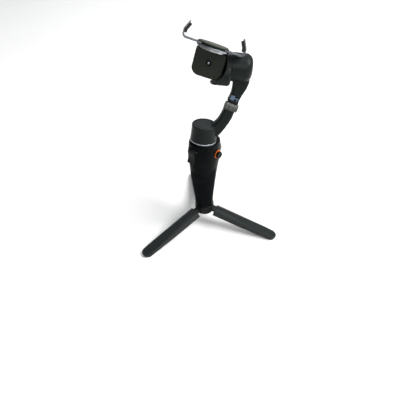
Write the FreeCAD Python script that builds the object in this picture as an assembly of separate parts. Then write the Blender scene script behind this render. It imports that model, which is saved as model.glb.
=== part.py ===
"""Folding three-axis hand gimbal for a phone, standing on a three-legged table stand.

Millimetres, +Z up.  The origin is on the floor under the axis of the handle.  -Y is the
trigger side of the handle, +Y its control panel, +X the side with the focus wheel.
"""
import FreeCAD, Part
import math
import os

V = FreeCAD.Vector

# ---- running gaps -------------------------------------------------------------------
GAP = 0.3              # between pieces that move past each other
FIT = 0.05             # radial clearance of a shaft or a sliding tube
BUTTON_GAP = 0.25      # around a button

# ---- table stand --------------------------------------------------------------------
LEG_LENGTH = 124.0     # pivot to tip
LEG_SLOPE = 14.6       # degrees below level when open
LEG_TURN = 25.1        # azimuth of the first leg
LEG_ROOT_WIDTH = 21.0
LEG_TIP_WIDTH = 17.5
LEG_TIP_DEPTH = 6.2
STAND_RADIUS = 16.5    # outside of the hub and of the three legs folded together
PIVOT_RADIUS = 11.8
TONGUE_WIDTH = 9.0
LEG_PIN_RADIUS = 1.5
LEG_START = 4.0        # free gap from the hub to the leg's square end
LEG_SLOT_LENGTH = 12.0 # finger slot near the tip
LEG_SLOT_WIDTH = 3.0
PAD_RADIUS = 7.0       # curved underside of a rubber foot
PAD_DEPTH = 1.3        # how far a foot stands out below its leg
HUB_RISE = 8.8         # pivot to top of hub
HUB_CORE_RADIUS = 9.0
HUB_CORE_DROP = 14.0   # pivot to the bottom of the hub

# ---- handle -------------------------------------------------------------------------
GRIP_HEIGHT = 82.0     # bottom of the handle to the top of the grip
HEAD_RISE = 48.0       # top of the grip to the ring under the pan motor
HEAD_HEIGHT = GRIP_HEIGHT + HEAD_RISE
# height above the bottom, half width, half depth, shift towards the panel
GRIP_FOOT = (0.0, 14.8, 15.3, -0.3)
GRIP_LOW = (GRIP_HEIGHT - 56.0, 15.6, 17.3, -0.5)
GRIP_MIDDLE = (GRIP_HEIGHT - 28.0, 17.4, 21.2, -0.3)
GRIP_TOP = (GRIP_HEIGHT, 19.2, 24.9, 0.8)
HEAD_LOW = (HEAD_HEIGHT - 26.0, 20.5, 27.6, 2.5)
HEAD_HIGH = (HEAD_HEIGHT - 11.0, 20.4, 27.0, 2.5)
HEAD_TOP = (HEAD_HEIGHT + 6.0, 18.4, 23.0, 1.6)
SECTIONS = (GRIP_FOOT, GRIP_LOW, GRIP_MIDDLE, GRIP_TOP, HEAD_LOW, HEAD_HIGH, HEAD_TOP)
WALL = 2.4
SKIN = 1.2             # rubber sleeve let into the wall
SKIN_LOW, SKIN_HIGH, SKIN_BACK = 6.0, GRIP_HEIGHT - 1.0, 9.0
SPLIT = 4.0            # plane between the two shells
PANEL_WIDTH = 25.0
PANEL_LOW, PANEL_HIGH = GRIP_HEIGHT - 16.0, HEAD_HEIGHT - 9.0
PANEL_THICK = 1.5
LEAN = 7.2             # pan axis leans towards the panel

TRIGGER_PIVOT = (-21.3, HEAD_HEIGHT - 9.5)   # y, height above handle bottom
TRIGGER_WIDTH = 12.0
TRIGGER_DROP = 21.0
TRIGGER_PIN_RADIUS = 1.25
WHEEL_SPOT = (10.0, HEAD_HEIGHT - 22.5)    # y, height above handle bottom
WHEEL_RADIUS = 5.6
WHEEL_THICK = 4.2
WHEEL_SHAFT_RADIUS = 2.0
STICK_HEIGHT = HEAD_HEIGHT - 27.0
STICK_RADIUS = 5.6
STICK_BALL_RADIUS = 3.0
BUTTON_PROUD = 0.9
MODE_SPOT, MODE_RADIUS = (0.0, GRIP_HEIGHT - 8.0), 3.8
RECORD_SPOT, RECORD_RADIUS = (6.4, GRIP_HEIGHT + 5.0), 3.6
SWITCH_SPOT, SWITCH_RADIUS = (-6.4, GRIP_HEIGHT + 5.0), 3.6
STICK_OPENING = 1.6    # around the stick, for its tilt
STICK_RIM = 1.2        # ring around that opening
WINDOW_HEIGHT, WINDOW_WIDTH, WINDOW_TALL = HEAD_HEIGHT - 14.3, 11.0, 5.0
PORT_SPOT = (2.0, GRIP_HEIGHT + 10.0)    # y, height above handle bottom
PORT_WIDTH, PORT_TALL, PORT_WALL = 9.0, 3.4, 0.4
PORT_DEPTH = 6.6
BOARD_WIDTH, BOARD_LOW, BOARD_HIGH = 22.0, PANEL_LOW, HEAD_HEIGHT - 18.0
BOARD_FACE, BOARD_THICK = 11.0, 1.6
CELL_WIDTH, CELL_LOW, CELL_HIGH = 14.0, GRIP_HEIGHT - 40.0, GRIP_HEIGHT + 4.0
CELL_FACE, CELL_THICK = -15.2, 6.0
SCREW_HEIGHTS = (16.0, GRIP_HEIGHT - 32.0)
SCREW_RADIUS = 2.2
INSERT_RADIUS = 5.0
INSERT_BORE = 3.15
INSERT_LENGTH = 9.5

# ---- extension rod ------------------------------------------------------------------
ROD_RADIUS = 7.0       # outside of the widest moving tube
ROD_WALL = 0.75
ROD_TOP_DROP = 20.0    # top of the widest tube below the ring
ROD_FOOT = 14.0        # lowest end above the bottom of the handle
ROD_LENGTH = HEAD_HEIGHT - ROD_FOOT - ROD_TOP_DROP

# ---- motors -------------------------------------------------------------------------
PAN_TOP_RADIUS = 18.1
PAN_FOOT_RADIUS = 19.3
PAN_HEIGHT = 24.3
RING_THICK = 1.5
ROLL_RADIUS = 17.2
ROLL_DOME = 9.5        # rounding of the back of the roll motor
CORE_LENGTH = 20.6     # seat of a motor to the end of its hollow
SPIGOT_RADIUS = 5.0
POST_RADIUS = 3.0
COIL_RADIUS = 12.8
HOLLOW_RADIUS = 14.4
BEARING_RADIUS = 6.5

# ---- folding arm (in the plane of the arm: distance from the pan axis, height) ------
PAN_REST = -46.0       # arm turned from straight behind the handle
ARM_THICK = 15.0
ARM_WIDTH = 15.6
HINGE = (33.6, 54.9)
ARM_ANGLE = 17.0       # arm at the hinge, from the pan axis
HINGE_OUT = 5.0        # hinge axis in front of the middle of the arm
HINGE_RADIUS = 5.4
HINGE_LENGTH = 18.4
HINGE_PIN_RADIUS = 1.5
KNUCKLE = 6.4          # middle knuckle
ROLL_HEIGHT = 105.0
ROLL_SEAT = 27.7       # face of the rotating roll disc
ROLL_BACK = 54.2       # back of the roll motor
ROLL_SEAM = 47.0       # joint of its back cover

# ---- roll bracket, tilt head --------------------------------------------------------
ROLL_REST = 9.5
DISC_LOW = 14.5        # how far the disc reaches back round the tilt head
LOBE_RADIUS = 14.2
LOBE_DROP = 8.0
LOBE_OUT = 8.0
LOBE_REACH = 12.5      # how far the lobe goes on under the tilt head
TILT_X = -1.6          # tilt axis from the pan axis
TILT_RISE = 4.0        # tilt axis above the roll axis
TILT_SEAT = -9.3       # face of the bracket's leg, along the tilt axis
LEG_THICK = 6.6        # bracket leg
TILT_REST = 102.0
HEAD_HALF = 19.0
HEAD_UP = 13.5
HEAD_DOWN = 17.2
HEAD_FRONT = 18.0
HEAD_CORNER = 9.5
HEAD_SWING = 22.6      # free radius round the tilt axis
SEAM_DROP = -5.0
CAP_RADIUS = 3.6

# ---- phone clamp --------------------------------------------------------------------
CLAMP_LIFT = 15.8      # tilt axis to the underside of the clamp
CLAMP_HALF = 20.0
CLAMP_DEPTH = 16.5
CLAMP_MIDDLE = 13.0    # centre of the clamp along the tilt axis
EDGE_THICK = 2.0
BASE_THICK = 2.7
CLAMP_PAD_THICK = 1.3
STRIP_WIDTH = 12.0
STRIP_OUT = 4.8        # middle of the arms in front of the middle of the clamp
STRIP_THICK = 1.5
STRIP_HALF_SPREAD = 38.2
HOOK_RISE = 8.5
HOOK_LIP = 10.6
HOOK_LEAN = 28.0
HOOK_BEND = 3.2
LINER_THICK = 2.8
PLATE_THICK = 2.0      # steel plate the clamp's magnets hold

# ---- heights that follow from the sizes above ---------------------------------------
SLOPE = math.radians(LEG_SLOPE)
PAD_SPOT = LEG_LENGTH - 9.0
LEG_UNDER = LEG_TIP_DEPTH - 1.4
PIVOT_Z = PAD_SPOT * math.sin(SLOPE) + LEG_UNDER * math.cos(SLOPE) + PAD_DEPTH
HUB_TOP = PIVOT_Z + HUB_RISE
FOOT_Z = HUB_TOP + 0.2
RING_Z = FOOT_Z + HEAD_HEIGHT


# ---- frames -------------------------------------------------------------------------
def turned_vector(v, axis, degrees):
    return FreeCAD.Rotation(axis, degrees).multVec(v)


def frame(origin, x_dir, z_dir):
    """Placement with the given X and Z directions."""
    y_dir = z_dir.cross(x_dir)
    return FreeCAD.Placement(origin, FreeCAD.Rotation(x_dir, y_dir, z_dir, "ZXY"))


PAN_AXIS = V(0, math.sin(math.radians(LEAN)), math.cos(math.radians(LEAN)))
HOME = V(0, math.cos(math.radians(LEAN)), -math.sin(math.radians(LEAN)))
ARM_DIR = turned_vector(HOME, PAN_AXIS, PAN_REST)
PAN = frame(V(0, 0, RING_Z), ARM_DIR, PAN_AXIS)
# the roll frame looks from the rim towards the phone; its Y is up when level
ROLL_POINT = PAN.multVec(V(0, 0, ROLL_HEIGHT))
ACROSS = turned_vector(ARM_DIR.cross(PAN_AXIS), ARM_DIR, -ROLL_REST)
ROLL_UP = ACROSS.cross(ARM_DIR)
BRACKET = frame(ROLL_POINT, ARM_DIR, ACROSS)
TILT_POINT = ROLL_POINT + ARM_DIR * TILT_X + ROLL_UP * TILT_RISE
STRIP_DIR = turned_vector(ROLL_UP, ACROSS, -TILT_REST)
TILT = frame(TILT_POINT, STRIP_DIR, ACROSS)
FOOT = FreeCAD.Placement(V(0, 0, FOOT_Z), FreeCAD.Rotation())
# lays a plate drawn flat in XY onto the clamp's XZ plane, centred on the clamp
SEAT_TURN = frame(V(0, 0, CLAMP_MIDDLE), V(-1, 0, 0), V(0, 1, 0))
HINGE_DIR = V(math.cos(math.radians(ARM_ANGLE)), 0, -math.sin(math.radians(ARM_ANGLE)))
UP_ARM = V(math.sin(math.radians(ARM_ANGLE)), 0, math.cos(math.radians(ARM_ANGLE)))


# ---- shape helpers ------------------------------------------------------------------
def cylinder(radius, low, high):
    return Part.makeCylinder(radius, high - low, V(0, 0, low))


def tube(outer, inner, low, high):
    return cylinder(outer, low, high).cut(cylinder(inner, low - 1, high + 1))


def rod(radius, start, end):
    return Part.makeCylinder(radius, (end - start).Length, start, end - start)


def box(x0, x1, y0, y1, z0, z1):
    return Part.makeBox(x1 - x0, y1 - y0, z1 - z0, V(x0, y0, z0))


def turned(profile):
    """Solid of revolution about Z from (radius, height) corners."""
    points = [V(r, 0, z) for r, z in profile]
    wire = Part.makePolygon(points + points[:1])
    return Part.Face(wire).revolve(V(0, 0, 0), V(0, 0, 1), 360)


def prism(points, direction):
    return Part.Face(Part.makePolygon(points + points[:1])).extrude(direction)


def soften(shape, radius, test):
    """Round the edges for which test(edge) holds."""
    return shape.makeFillet(radius, [e for e in shape.Edges if test(e)])


def ellipse_plate(half_x, half_y, low, high):
    if half_y > half_x:
        curve = Part.Ellipse(V(0, half_y, low), V(half_x, 0, low), V(0, 0, low))
    else:
        curve = Part.Ellipse(V(half_x, 0, low), V(0, half_y, low), V(0, 0, low))
    return Part.Face(Part.Wire(curve.toShape())).extrude(V(0, 0, high - low))


def rim_edges(shape, height, least):
    """Edges lying in the plane z = height, longer than least."""
    return [e for e in shape.Edges if e.Length > least
            and abs(e.BoundBox.ZMin - height) < 0.01 and abs(e.BoundBox.ZMax - height) < 0.01]


def moved(shape, place):
    result = shape.copy()
    result.Placement = place.multiply(result.Placement)
    return result


def keep(name, shape, place=None):
    """Write one piece, moved into the common frame."""
    result = shape.copy()
    if place is not None:
        result = moved(result, place)
    result.exportStep("parts/%s.step" % name)


# ---- table stand --------------------------------------------------------------------
def leg_frame(number):
    azimuth = math.radians(LEG_TURN + 120.0 * number)
    out = V(math.cos(azimuth), math.sin(azimuth), 0)
    along = out * math.cos(SLOPE) - V(0, 0, math.sin(SLOPE))
    side = V(0, 0, 1).cross(out)
    return frame(V(out.x * PIVOT_RADIUS, out.y * PIVOT_RADIUS, PIVOT_Z), along, along.cross(side))


def leg():
    """One leg: X runs along it from the pivot, Z is its outer face, shaped to the folded stand."""
    start = STAND_RADIUS - PIVOT_RADIUS + LEG_START
    rise = STAND_RADIUS - PIVOT_RADIUS
    half, tip = LEG_ROOT_WIDTH / 2, LEG_TIP_WIDTH / 2
    plan = prism([V(start, -half, -20), V(LEG_LENGTH - tip, -tip, -20), V(LEG_LENGTH - tip, tip, -20),
                  V(start, half, -20)], V(0, 0, 40))
    plan = plan.fuse(Part.makeCylinder(tip, 40, V(LEG_LENGTH - tip, 0, -20)))
    side = prism([V(start, -15, -8.4), V(LEG_LENGTH * 0.55, -15, -LEG_UNDER - 1.2),
                  V(PAD_SPOT + 4, -15, -LEG_UNDER),
                  V(LEG_LENGTH, -15, -LEG_UNDER + (LEG_LENGTH - PAD_SPOT - 4) * math.tan(SLOPE)),
                  V(LEG_LENGTH + 1, -15, 1.4), V(PAD_SPOT, -15, 1.4),
                  V(start + 20, -15, rise), V(start, -15, rise)], V(0, 30, 0))
    round_face = Part.makeCylinder(STAND_RADIUS, LEG_LENGTH + 2, V(0, 0, -PIVOT_RADIUS), V(1, 0, 0))
    reach = 30.0
    top = 2 * reach * math.sin(math.radians(59.2))
    wedge = prism([V(0, 0, -PIVOT_RADIUS), V(0, top, -PIVOT_RADIUS + reach), V(0, -top, -PIVOT_RADIUS + reach)],
                  V(LEG_LENGTH + 2, 0, 0))
    body = plan.common(side).common(round_face).common(wedge)
    core = Part.makeCylinder(HUB_CORE_RADIUS + 0.7, HUB_CORE_DROP + 1.5, V(0, 0, -PIVOT_RADIUS), V(1, 0, 0))
    tongue = box(0, start + 3, -TONGUE_WIDTH / 2, TONGUE_WIDTH / 2, -3.6, 3.6)
    tongue = tongue.fuse(Part.makeCylinder(3.6, TONGUE_WIDTH, V(0, -TONGUE_WIDTH / 2, 0), V(0, 1, 0)))
    body = body.cut(core).fuse(tongue.common(round_face))
    hole = Part.makeCylinder(LEG_PIN_RADIUS + FIT, 30, V(0, -15, 0), V(0, 1, 0))
    round_end = LEG_SLOT_WIDTH / 2
    reach = LEG_SLOT_LENGTH / 2 - round_end
    slot = box(PAD_SPOT - reach, PAD_SPOT + reach, -round_end, round_end, 0.4, 5)
    for end in (-reach, reach):
        slot = slot.fuse(Part.makeCylinder(round_end, 5, V(PAD_SPOT + end, 0, 0.4)))
    return body.cut(hole).cut(slot).cut(foot_pad())


def foot_pad():
    """Rubber foot let into the underside near the tip, with a curved sole."""
    half = LEG_TIP_WIDTH / 2 - 2.2
    sole = Part.makeCylinder(PAD_RADIUS, 2 * half, V(0, -half, 0), V(0, 1, 0))
    drop = V(math.sin(SLOPE), 0, -math.cos(SLOPE)) * (PAD_DEPTH - PAD_RADIUS)
    sole.translate(V(PAD_SPOT, 0, -LEG_UNDER) + drop)
    return sole.common(box(PAD_SPOT - 5.5, PAD_SPOT + 5.5, -half, half, -LEG_UNDER - 4, -LEG_UNDER + 1.6))


def leg_slot(extra):
    """Space in the hub for one leg's tongue, from open to folded."""
    half = TONGUE_WIDTH / 2 + extra
    low, high = -HUB_CORE_DROP - 1, 3.6 + 0.5
    return box(PIVOT_RADIUS - 4.2, STAND_RADIUS + 3, -half, half, low, high)


def hub():
    body = turned([(0, -HUB_CORE_DROP), (HUB_CORE_RADIUS - 3.5, -HUB_CORE_DROP),
                   (HUB_CORE_RADIUS - 1.2, -HUB_CORE_DROP + 0.9), (HUB_CORE_RADIUS, -HUB_CORE_DROP + 3.2),
                   (HUB_CORE_RADIUS, -6.3), (STAND_RADIUS - 1.2, -6.3), (STAND_RADIUS - 0.3, -5.2),
                   (STAND_RADIUS - 0.3, HUB_RISE - 1.0), (STAND_RADIUS - 1.3, HUB_RISE), (0, HUB_RISE)])
    pins = None
    for number in range(3):
        spin = FreeCAD.Placement(V(0, 0, 0), FreeCAD.Rotation(V(0, 0, 1), LEG_TURN + 120.0 * number))
        body = body.cut(moved(leg_slot(GAP), spin))
        reach = TONGUE_WIDTH / 2 + 3.0
        pin = moved(Part.makeCylinder(LEG_PIN_RADIUS, 2 * reach, V(PIVOT_RADIUS, -reach, 0), V(0, 1, 0)), spin)
        body = body.cut(pin)
        pins = pin if pins is None else pins.fuse(pin)
    place = FreeCAD.Placement(V(0, 0, PIVOT_Z), FreeCAD.Rotation())
    stud = cylinder(3.1, HUB_RISE - 5.0, HUB_RISE + 8.0)
    keep("tripod_hub", body.cut(stud), place)
    keep("leg_pins", pins, place)
    keep("tripod_stud", stud, place)


def stand():
    hub()
    for number in range(3):
        place = leg_frame(number)
        keep("leg_%d" % (number + 1), leg(), place)
        keep("leg_pad_%d" % (number + 1), foot_pad(), place)


# ---- handle -------------------------------------------------------------------------
def handle_body(inset):
    """The handle's outer form made smaller by inset, cut off square to the pan axis."""
    wires = []
    for height, half_x, half_y, shift in SECTIONS:
        z = height + (inset if height == 0 else 0)
        curve = Part.Ellipse(V(0, shift + half_y - inset, z), V(half_x - inset, shift, z), V(0, shift, z))
        wires.append(Part.Wire(curve.toShape()))
    body = Part.makeLoft(wires, True)
    lid = moved(box(-60, 60, -60, 60, -RING_THICK / 2 - 2.4 - inset, 60), PAN)
    return body.cut(moved(lid, FOOT.inverse()))


def surface(body, x, z, direction):
    """Where a line from the handle's axis leaves the body, along Y or X."""
    if direction == "y":
        hit = body.common(Part.makeLine(V(x, 0, z), V(x, 60, z)))
        return hit.BoundBox.YMax
    hit = body.common(Part.makeLine(V(0, x, z), V(60, x, z)))
    return hit.BoundBox.XMax


def skin_zone():
    return box(-40, 40, -60, SKIN_BACK, SKIN_LOW, SKIN_HIGH)


def panel_zone():
    return box(-PANEL_WIDTH / 2, PANEL_WIDTH / 2, 5, 60, PANEL_LOW, PANEL_HIGH)


def plug(spot, radius, low, high):
    return Part.makeCylinder(radius, high - low, V(spot[0], low, spot[1]), V(0, 1, 0))


def trigger_shape():
    """Finger lever: pivots at its top, hooks forward at its bottom."""
    y, z = TRIGGER_PIVOT
    half = TRIGGER_WIDTH / 2
    front = Part.BSplineCurve()
    front.interpolate([V(-half, y - 3.0, z + 3.2), V(-half, y - 5.4, z - 1.5), V(-half, y - 5.2, z - 8.0),
                       V(-half, y - 5.9, z - 14.5), V(-half, y - 7.7, z - TRIGGER_DROP + 1.0)])
    back = Part.makePolygon([V(-half, y - 7.7, z - TRIGGER_DROP + 1.0), V(-half, y - 6.2, z - TRIGGER_DROP),
                             V(-half, y - 2.0, z - TRIGGER_DROP + 3.0), V(-half, y + 2.6, z - 3.0),
                             V(-half, y + 2.6, z + 2.0), V(-half, y + 1.2, z + 3.2), V(-half, y - 3.0, z + 3.2)])
    body = Part.Face(Part.Wire([front.toShape()] + back.Edges)).extrude(V(TRIGGER_WIDTH, 0, 0))
    body = soften(body, 1.1, lambda e: e.Length > 20 and e.BoundBox.XLength < 0.01)
    return body.cut(rod(TRIGGER_PIN_RADIUS + FIT, V(-20, y, z), V(20, y, z)))


def trigger_pocket():
    y, z = TRIGGER_PIVOT
    half = TRIGGER_WIDTH / 2 + 0.5
    return box(-half, half, -60, y + 4.5, z - TRIGGER_DROP - 1.0, z + 4.0)


def handle():
    outer = handle_body(0.0)
    inner = handle_body(WALL)
    shell = outer.cut(inner)
    skin = outer.cut(handle_body(SKIN)).common(skin_zone())
    panel = outer.cut(handle_body(PANEL_THICK)).common(panel_zone())
    y, z = TRIGGER_PIVOT
    half = TRIGGER_WIDTH / 2 + 0.5
    ears = box(half, half + 3, y - 3.5, y + 4, z - 5, z + 5).fuse(box(-half - 3, -half, y - 3.5, y + 4, z - 5, z + 5))
    pin = rod(TRIGGER_PIN_RADIUS, V(-half - 2.5, y, z), V(half + 2.5, y, z))

    # wheel side
    wy, wz = WHEEL_SPOT
    face = surface(outer, wy, wz, "x")
    boss = rod(WHEEL_RADIUS + 0.8, V(face - WALL - 3, wy, wz), V(face - 0.5, wy, wz))
    ring_seat = rod(WHEEL_RADIUS + 1.0, V(face - 0.8, wy, wz), V(face + 5, wy, wz))
    shaft_room = rod(WHEEL_SHAFT_RADIUS + FIT, V(face - WALL - 1.5, wy, wz), V(face + 9, wy, wz))
    wheel_ring = rod(WHEEL_RADIUS + 1.0, V(face - 0.8, wy, wz), V(face + 0.5, wy, wz)).cut(shaft_room)
    wheel = Part.makeCylinder(WHEEL_RADIUS, WHEEL_THICK, V(0, 0, 0))
    wheel = wheel.makeFillet(0.8, rim_edges(wheel, WHEEL_THICK, 5))
    for number in range(18):
        angle = math.radians(20.0 * number)
        wheel = wheel.cut(Part.makeCylinder(0.45, 3.0, V(WHEEL_RADIUS * math.cos(angle),
                                                        WHEEL_RADIUS * math.sin(angle), 0.4)))
    wheel = wheel.cut(cylinder(WHEEL_RADIUS - 2.2, WHEEL_THICK - 0.5, WHEEL_THICK + 1))
    wheel = wheel.fuse(cylinder(WHEEL_SHAFT_RADIUS, -WALL - 1.2, 1))
    wheel_place = frame(V(face + 0.8, wy, wz), V(0, 1, 0), V(1, 0, 0))

    # charging socket, opposite the wheel
    port_face = -surface(outer, PORT_SPOT[0], PORT_SPOT[1], "x")
    back = port_face + 0.9 + PORT_DEPTH

    def port_box(start, end, inset, tall):
        y, z = PORT_SPOT
        return box(start, end, y - PORT_WIDTH / 2 + inset, y + PORT_WIDTH / 2 - inset, z - tall / 2, z + tall / 2)
    port = soften(port_box(port_face + 0.9, back, 0.0, PORT_TALL), PORT_TALL * 0.44,
                  lambda e: e.BoundBox.XLength > PORT_DEPTH - 0.6)
    mouth = PORT_TALL - 2 * PORT_WALL
    port_shell = port.cut(port_box(port_face, back - 0.9, PORT_WALL, mouth))
    port_shell = port_shell.fuse(port_box(port_face + 2.2, back - 0.5, 1.3, 0.8))

    # buttons and stick on the panel
    panel_holes = []
    for name, spot, radius in (("mode_button", MODE_SPOT, MODE_RADIUS), ("record_button", RECORD_SPOT, RECORD_RADIUS),
                               ("switch_button", SWITCH_SPOT, SWITCH_RADIUS)):
        top = surface(outer, spot[0], spot[1], "y")
        cap = plug(spot, radius, top - 3.2, top + BUTTON_PROUD)
        cap = soften(cap, 0.5, lambda e, t=top: e.Length > 8 and e.BoundBox.YMin > t)
        keep(name, cap, FOOT)
        panel_holes.append(plug(spot, radius + BUTTON_GAP, top - 6, top + 6))
    stick_spot = (0.0, STICK_HEIGHT)
    top = surface(outer, 0.0, STICK_HEIGHT, "y")
    opening = plug(stick_spot, STICK_RADIUS + STICK_OPENING, top - 6, top + 6)
    panel_holes.append(opening)
    stick_ring = plug(stick_spot, STICK_RADIUS + STICK_OPENING + STICK_RIM, top - 1.0, top + 0.6).cut(opening)
    ball = top - 2.6
    stick = Part.makeSphere(STICK_BALL_RADIUS, V(0, ball, STICK_HEIGHT)).fuse(plug(stick_spot, 1.6, ball, top + 2.4))
    stick_cap = plug(stick_spot, STICK_RADIUS, top + 1.9, top + 4.0)
    stick_cap = soften(stick_cap, 0.7, lambda e: len(e.Vertexes) == 1)
    dish = Part.makeSphere(9.0, V(0, top + 12.3, STICK_HEIGHT))
    keep("joystick", stick.fuse(stick_cap).cut(dish), FOOT)
    yoke = plug(stick_spot, 4.9, ball - 1.0, ball + 1.0).cut(
        Part.makeSphere(STICK_BALL_RADIUS + FIT, V(0, ball, STICK_HEIGHT)))
    keep("joystick_yoke", yoke, FOOT)
    keep("joystick_ring", stick_ring, FOOT)
    window_zone = box(-WINDOW_WIDTH / 2, WINDOW_WIDTH / 2, 10, 60, WINDOW_HEIGHT - WINDOW_TALL / 2,
                      WINDOW_HEIGHT + WINDOW_TALL / 2)
    window = panel.common(window_zone).common(outer.cut(handle_body(0.7)))
    keep("status_window", window, FOOT)
    panel = panel.cut(window).cut(stick_ring)
    for hole in panel_holes:
        panel = panel.cut(hole)
    keep("control_panel", panel, FOOT)

    # thread insert and the bore for the stand's stud
    insert = tube(INSERT_RADIUS, INSERT_BORE, 0.0, INSERT_LENGTH)
    floor = cylinder(9.0, 0.0, ROD_FOOT - 2.0).common(outer)
    shell = shell.fuse(floor).cut(cylinder(INSERT_RADIUS, -1, INSERT_LENGTH))
    shell = shell.cut(cylinder(INSERT_BORE + 0.25, 0, ROD_FOOT - 2.0))
    # rod guide and the hole it comes out of
    guide = tube(ROD_RADIUS + FIT + 1.4, ROD_RADIUS + FIT, ROD_FOOT - 2.0, ROD_FOOT + ROD_LENGTH + 2.0)
    shell = shell.cut(cylinder(ROD_RADIUS + 1.0, ROD_FOOT + 20, 170))
    shell = shell.fuse(boss.common(outer)).cut(ring_seat).cut(shaft_room)
    shell = shell.cut(panel).cut(window).cut(stick_ring).cut(port)
    shell = shell.cut(port_box(port_face - 5, port_face + 3, PORT_WALL, mouth))
    for hole in panel_holes:
        shell = shell.cut(hole)
    front = shell.cut(skin).common(box(-60, 60, -60, SPLIT, -1, 170))
    front = front.fuse(ears.common(outer)).cut(trigger_pocket()).cut(pin)
    rear = shell.cut(skin).common(box(-60, 60, SPLIT, 60, -1, 170))
    heads = None
    for height in SCREW_HEIGHTS:
        depth = surface(outer, 0.0, height, "y")
        head = plug((0, height), SCREW_RADIUS, depth - 1.9, depth - 0.4)
        head = head.cut(box(-0.35, 0.35, depth - 1.0, depth + 1, height - SCREW_RADIUS + 0.6,
                            height + SCREW_RADIUS - 0.6))
        rear = rear.cut(plug((0, height), SCREW_RADIUS, depth - 1.9, depth + 3))
        heads = head if heads is None else heads.fuse(head)
    keep("handle_front", front, FOOT)
    keep("handle_rear", rear, FOOT)
    keep("grip_skin", skin, FOOT)
    keep("thread_insert", insert, FOOT)
    keep("rod_guide", guide, FOOT)
    keep("trigger", trigger_shape(), FOOT)
    keep("trigger_pin", pin, FOOT)
    keep("wheel_ring", wheel_ring, FOOT)
    keep("side_wheel", moved(wheel, wheel_place), FOOT)
    keep("usb_port", port_shell, FOOT)
    keep("handle_screws", heads, FOOT)
    keep("main_board", box(-BOARD_WIDTH / 2, BOARD_WIDTH / 2, BOARD_FACE, BOARD_FACE + BOARD_THICK,
                           BOARD_LOW, BOARD_HIGH), FOOT)
    battery = box(-CELL_WIDTH / 2, CELL_WIDTH / 2, CELL_FACE, CELL_FACE + CELL_THICK, CELL_LOW, CELL_HIGH)
    keep("battery_pack", soften(battery, CELL_THICK / 3, lambda e: e.BoundBox.ZLength > 5), FOOT)


def rod_stages():
    outer = ROD_RADIUS
    for number in range(3):
        top = ROD_FOOT + ROD_LENGTH + 3.0 * number
        stage = tube(outer, outer - ROD_WALL, ROD_FOOT, top)
        if number == 2:
            stage = stage.fuse(cylinder(outer, top - 8, top))
        keep("rod_stage_%d" % (number + 1), stage, FOOT)
        outer -= ROD_WALL + FIT
    return outer + ROD_WALL + FIT, top


# ---- motors: the same core in all three axes ----------------------------------------
def motor_core():
    """Spigot with its post, coil and bearing, standing on the plane z = 0."""
    spigot = cylinder(SPIGOT_RADIUS, -0.5, 12.8).fuse(cylinder(POST_RADIUS, 12.0, CORE_LENGTH - 2.2))
    coil = tube(COIL_RADIUS, SPIGOT_RADIUS, 3.4, 12.0)
    for number in range(9):
        angle = math.radians(40.0 * number)
        coil = coil.cut(Part.makeCylinder(1.0, 12, V(10.8 * math.cos(angle), 10.8 * math.sin(angle), 2)))
    bearing = tube(BEARING_RADIUS, POST_RADIUS, 13.8, 17.4)
    return spigot, coil, bearing


def motor_hollow():
    """What a housing that turns around the core leaves free."""
    hollow = cylinder(HOLLOW_RADIUS, -1.0, CORE_LENGTH)
    collar = cylinder(BEARING_RADIUS + 2.5, 13.4, CORE_LENGTH)
    bore = cylinder(BEARING_RADIUS + FIT, 13.0, CORE_LENGTH - 1.0)
    return hollow.cut(collar).fuse(bore)


# ---- pan ----------------------------------------------------------------------------
def pan(rod_radius, rod_top):
    spigot, coil, bearing = motor_core()
    seat = RING_THICK / 2
    up = FreeCAD.Placement(V(0, 0, seat), FreeCAD.Rotation())
    base = turned([(0, -seat - 2.2), (PAN_FOOT_RADIUS - 0.2, -seat - 2.2), (PAN_FOOT_RADIUS + 0.2, -seat - 1.6),
                   (PAN_FOOT_RADIUS + 0.2, -seat), (PAN_FOOT_RADIUS - 1.4, -seat), (PAN_FOOT_RADIUS - 1.4, seat),
                   (0, seat)])
    base = base.fuse(moved(spigot, up))
    neck = moved(rod(rod_radius - ROD_WALL, V(0, 0, FOOT_Z + rod_top), V(0, 0, RING_Z)), PAN.inverse())
    base = base.fuse(neck)
    keep("pan_base", base, PAN)
    keep("pan_ring", tube(PAN_FOOT_RADIUS + 0.25, PAN_FOOT_RADIUS - 1.4, -seat, seat), PAN)
    keep("pan_coil", moved(coil, up), PAN)
    keep("pan_bearing", moved(bearing, up), PAN)
    low = seat + GAP
    cup = turned([(0, low), (PAN_FOOT_RADIUS, low), (PAN_TOP_RADIUS + 0.3, 12.0), (PAN_TOP_RADIUS, 18.0),
                  (PAN_TOP_RADIUS, PAN_HEIGHT), (0, PAN_HEIGHT)])
    cup = cup.makeFillet(2.2, rim_edges(cup, PAN_HEIGHT, 20))
    groove = tube(PAN_TOP_RADIUS - 3.5, PAN_TOP_RADIUS - 4.4, PAN_HEIGHT - 0.6, PAN_HEIGHT + 1)
    keep("pan_housing", cup.cut(moved(motor_hollow(), up)).cut(groove), PAN)
    return cup


def plane_profile(outer_points, inner_points, half, round_radius):
    """Arm form: two smooth edges in the XZ plane, thick along Y, edges rounded."""
    def curve(points):
        spline = Part.BSplineCurve()
        spline.interpolate([V(x, -half, z) for x, z in points])
        return spline.toShape()
    outer, inner = curve(outer_points), curve(inner_points)
    ends = [Part.makeLine(V(outer_points[-1][0], -half, outer_points[-1][1]),
                          V(inner_points[0][0], -half, inner_points[0][1])),
            Part.makeLine(V(inner_points[-1][0], -half, inner_points[-1][1]),
                          V(outer_points[0][0], -half, outer_points[0][1]))]
    solid = Part.Face(Part.Wire([outer, ends[0], inner, ends[1]])).extrude(V(0, 2 * half, 0))
    return soften(solid, round_radius, lambda e: e.BoundBox.YLength < 0.01 and e.Length > 22)


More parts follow.
